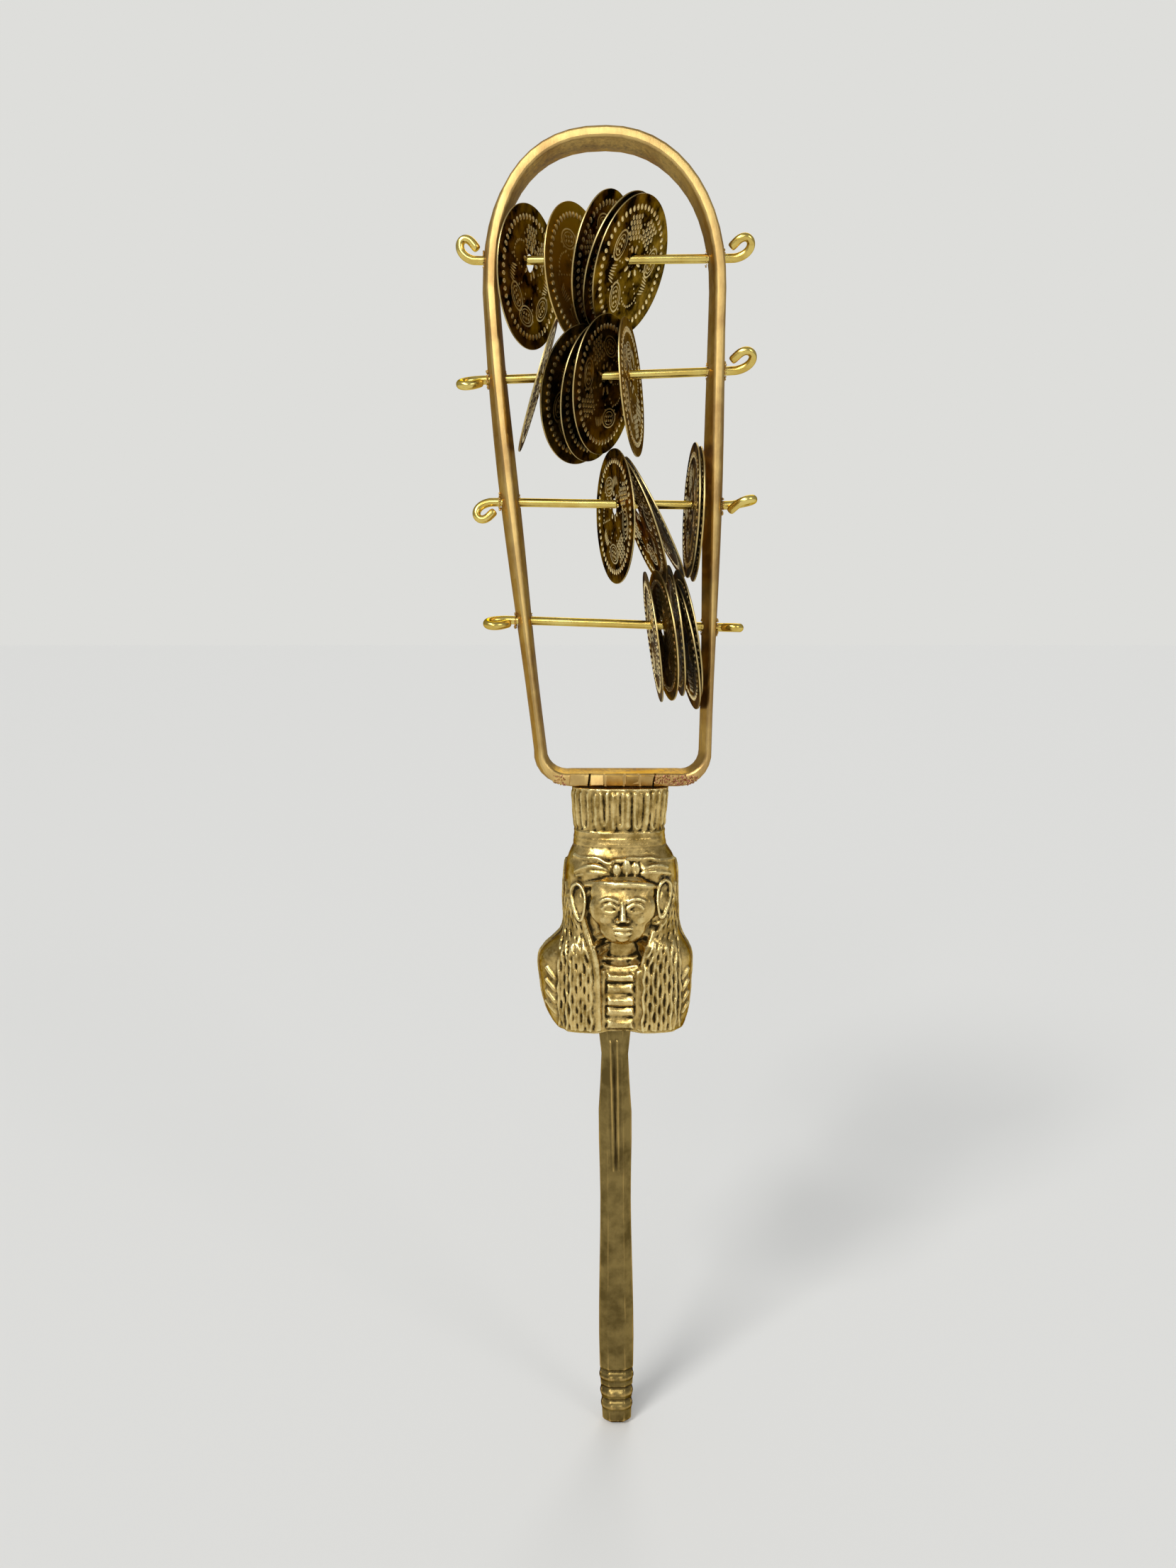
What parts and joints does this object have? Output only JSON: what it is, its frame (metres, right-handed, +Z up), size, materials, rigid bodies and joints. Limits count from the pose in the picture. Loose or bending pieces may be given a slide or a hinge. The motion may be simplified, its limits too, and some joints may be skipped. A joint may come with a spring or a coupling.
{
  "type": "sistrum",
  "caption": "Hand rattle with a tall metal hoop on a cast head and slim handle; loose wires across the hoop carry sliding embossed discs that ring when shaken.",
  "frame": {"origin": "centre of the flat end face of the handle", "axes": "+Z up along the handle to the hoop, +X to the viewer's right along the wires, the face of the head looks along -Y"},
  "size_m": [0.083, 0.0371, 0.3732],
  "materials": {
    "cast_brass": "cast and filed, golden",
    "head_brass": "rough cast, olive gold",
    "worn_brass": "worn smooth, dull olive",
    "wire_brass": "drawn wire, satin",
    "dark_bronze": "dark patina, bright edges"
  },
  "bodies": {
    "frame": {"handle": "worn_brass", "head": "head_brass", "hoop": "cast_brass"},
    "wire_1": {"wire_1": "wire_brass"},
    "disc_1_1": {"disc_1_1": "dark_bronze"},
    "disc_1_2": {"disc_1_2": "dark_bronze"},
    "disc_1_3": {"disc_1_3": "dark_bronze"},
    "disc_1_4": {"disc_1_4": "dark_bronze"},
    "disc_1_5": {"disc_1_5": "dark_bronze"},
    "wire_2": {"wire_2": "wire_brass"},
    "disc_2_1": {"disc_2_1": "dark_bronze"},
    "disc_2_2": {"disc_2_2": "dark_bronze"},
    "disc_2_3": {"disc_2_3": "dark_bronze"},
    "disc_2_4": {"disc_2_4": "dark_bronze"},
    "disc_2_5": {"disc_2_5": "dark_bronze"},
    "wire_3": {"wire_3": "wire_brass"},
    "disc_3_1": {"disc_3_1": "dark_bronze"},
    "disc_3_2": {"disc_3_2": "dark_bronze"},
    "disc_3_3": {"disc_3_3": "dark_bronze"},
    "disc_3_4": {"disc_3_4": "dark_bronze"},
    "disc_3_5": {"disc_3_5": "dark_bronze"},
    "wire_4": {"wire_4": "wire_brass"},
    "disc_4_1": {"disc_4_1": "dark_bronze"},
    "disc_4_2": {"disc_4_2": "dark_bronze"},
    "disc_4_3": {"disc_4_3": "dark_bronze"},
    "disc_4_4": {"disc_4_4": "dark_bronze"},
    "disc_4_5": {"disc_4_5": "dark_bronze"}
  },
  "joints": [
    {"name": "wire_1_spin", "type": "hinge", "parent": "frame", "child": "wire_1", "pos_m": [0, 0, 0.3398], "axis": [1, 0, 0.0087], "continuous": true},
    {"name": "disc_1_1_slide", "type": "slide", "parent": "frame", "child": "disc_1_1", "axis": [1, 0, 0.0087], "range_m": [-0.0039, 0.0014]},
    {"name": "disc_1_2_slide", "type": "slide", "parent": "frame", "child": "disc_1_2", "axis": [1, 0, 0.0087], "range_m": [-0.0003, 0.0003]},
    {"name": "disc_1_3_slide", "type": "slide", "parent": "frame", "child": "disc_1_3", "axis": [1, 0, 0.0087], "range_m": [-0.0003, 0.0005]},
    {"name": "disc_1_4_slide", "type": "slide", "parent": "frame", "child": "disc_1_4", "axis": [1, 0, 0.0087], "range_m": [-0.0005, 0.0005]},
    {"name": "disc_1_5_slide", "type": "slide", "parent": "frame", "child": "disc_1_5", "axis": [1, 0, 0.0087], "range_m": [-0.0005, 0.0007]},
    {"name": "wire_2_spin", "type": "hinge", "parent": "frame", "child": "wire_2", "pos_m": [0, 0, 0.3095], "axis": [0.9994, 0, 0.0349], "continuous": true},
    {"name": "disc_2_1_slide", "type": "slide", "parent": "frame", "child": "disc_2_1", "axis": [0.9994, 0, 0.0349], "range_m": [-0.0008, 0.0003]},
    {"name": "disc_2_2_slide", "type": "slide", "parent": "frame", "child": "disc_2_2", "axis": [0.9994, 0, 0.0349], "range_m": [-0.0007, 0.0009]},
    {"name": "disc_2_3_slide", "type": "slide", "parent": "frame", "child": "disc_2_3", "axis": [0.9994, 0, 0.0349], "range_m": [-0.0007, 0.0002]},
    {"name": "disc_2_4_slide", "type": "slide", "parent": "frame", "child": "disc_2_4", "axis": [0.9994, 0, 0.0349], "range_m": [-0.0002, 0.0008]},
    {"name": "disc_2_5_slide", "type": "slide", "parent": "frame", "child": "disc_2_5", "axis": [0.9994, 0, 0.0349], "range_m": [-0.0008, 0.0138]},
    {"name": "wire_3_spin", "type": "hinge", "parent": "frame", "child": "wire_3", "pos_m": [0, 0, 0.2748], "axis": [0.9998, 0, -0.0175], "continuous": true},
    {"name": "disc_3_1_slide", "type": "slide", "parent": "frame", "child": "disc_3_1", "axis": [0.9998, 0, -0.0175], "range_m": [-0.0012, 0.0004]},
    {"name": "disc_3_2_slide", "type": "slide", "parent": "frame", "child": "disc_3_2", "axis": [0.9998, 0, -0.0175], "range_m": [-0.0004, 0.0003]},
    {"name": "disc_3_3_slide", "type": "slide", "parent": "frame", "child": "disc_3_3", "axis": [0.9998, 0, -0.0175], "range_m": [-0.0002, 0.0005]},
    {"name": "disc_3_4_slide", "type": "slide", "parent": "frame", "child": "disc_3_4", "axis": [0.9998, 0, -0.0175], "range_m": [-0.0005, 0.0004]},
    {"name": "disc_3_5_slide", "type": "slide", "parent": "frame", "child": "disc_3_5", "axis": [0.9998, 0, -0.0175], "range_m": [-0.0004, 0.0008]},
    {"name": "wire_4_spin", "type": "hinge", "parent": "frame", "child": "wire_4", "pos_m": [0, 0, 0.2418], "axis": [0.9994, 0, -0.0349], "continuous": true},
    {"name": "disc_4_1_slide", "type": "slide", "parent": "frame", "child": "disc_4_1", "axis": [0.9994, 0, -0.0349], "range_m": [-0.0051, 0.0004]},
    {"name": "disc_4_2_slide", "type": "slide", "parent": "frame", "child": "disc_4_2", "axis": [0.9994, 0, -0.0349], "range_m": [-0.0004, 0.0006]},
    {"name": "disc_4_3_slide", "type": "slide", "parent": "frame", "child": "disc_4_3", "axis": [0.9994, 0, -0.0349], "range_m": [-0.0003, 0.0002]},
    {"name": "disc_4_4_slide", "type": "slide", "parent": "frame", "child": "disc_4_4", "axis": [0.9994, 0, -0.0349], "range_m": [-0.0002, 0.0002]},
    {"name": "disc_4_5_slide", "type": "slide", "parent": "frame", "child": "disc_4_5", "axis": [0.9994, 0, -0.0349], "range_m": [-0.0002, 0.0002]}
  ]
}
